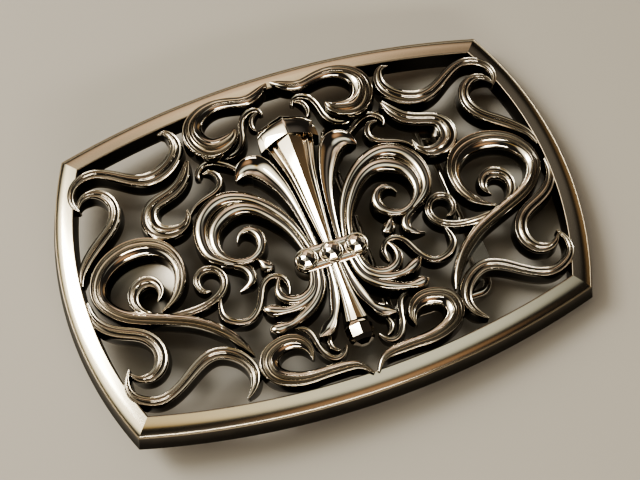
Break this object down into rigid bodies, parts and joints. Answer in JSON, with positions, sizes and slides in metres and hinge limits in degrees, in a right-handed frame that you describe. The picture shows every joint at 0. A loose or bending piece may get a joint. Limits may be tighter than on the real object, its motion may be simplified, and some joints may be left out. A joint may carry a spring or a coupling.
{
  "type": "belt buckle",
  "caption": "Barrel-shaped openwork belt buckle: mitred bezel frame filled with pierced scrollwork around a fleur-de-lis, with a hinged belt bail and a hook stud on the back.",
  "frame": {"origin": "centre of the bezel frame's back plane, which is also the centre of the whole buckle's box", "axes": "+Z out of the decorated front, +X towards the bail's end of the buckle, +Y towards the top of the fleur-de-lis"},
  "size_m": [0.0934, 0.0658, 0.0138],
  "materials": {
    "bezel": "polished warm silver with a soft brushed grain along the rails",
    "scrollwork": "polished antique silver, oxidised dark in the flutes and recesses",
    "fleur_de_lis": "bright polished silver, lightly oxidised in the grooves",
    "hardware": "tumbled nickel steel with fine scratches"
  },
  "bodies": {
    "buckle": {"bezel_frame": "bezel", "crest_scroll_left": "scrollwork", "crest_scroll_right": "scrollwork", "crest_tendril_left": "scrollwork", "crest_tendril_right": "scrollwork", "upper_corner_scroll_left": "scrollwork", "upper_corner_scroll_right": "scrollwork", "link_scroll_left": "scrollwork", "link_scroll_right": "scrollwork", "upper_shoulder_scroll_left": "scrollwork", "upper_shoulder_scroll_right": "scrollwork", "side_volute_left": "scrollwork", "side_volute_right": "scrollwork", "volute_heart_left": "scrollwork", "volute_heart_right": "scrollwork", "lower_shoulder_scroll_left": "scrollwork", "lower_shoulder_scroll_right": "scrollwork", "lower_corner_scroll_left": "scrollwork", "lower_corner_scroll_right": "scrollwork", "spiral_tendril_left": "scrollwork", "spiral_tendril_right": "scrollwork", "foot_scroll_left": "scrollwork", "foot_scroll_right": "scrollwork", "foot_tendril_left": "scrollwork", "foot_tendril_right": "scrollwork", "feather_tendrils_left": "scrollwork", "feather_tendrils_right": "scrollwork", "heart_tendril_left": "scrollwork", "heart_tendril_right": "scrollwork", "side_petal_left": "fleur_de_lis", "side_petal_right": "fleur_de_lis", "petal_barb_left": "scrollwork", "petal_barb_right": "scrollwork", "petal_bud_left": "scrollwork", "petal_bud_right": "scrollwork", "feather_petal_left": "fleur_de_lis", "feather_petal_right": "fleur_de_lis", "lower_leaf_left": "fleur_de_lis", "lower_leaf_right": "fleur_de_lis", "tail_plume_left": "fleur_de_lis", "tail_plume_right": "fleur_de_lis", "centre_petal": "fleur_de_lis", "petal_cap": "fleur_de_lis", "collar": "fleur_de_lis", "collar_beads": "fleur_de_lis", "tail_quill": "fleur_de_lis", "tail_finial": "fleur_de_lis", "hook_pad": "hardware", "hook_stud": "hardware", "hinge_barrel_upper": "hardware", "hinge_barrel_lower": "hardware"},
    "bail": {"bail": "hardware"}
  },
  "joints": [
    {"name": "bail_hinge", "type": "hinge", "parent": "buckle", "child": "bail", "pos_m": [0.025, 0, -0.0013], "axis": [0, -1, 0], "range_deg": [0, 180]}
  ]
}
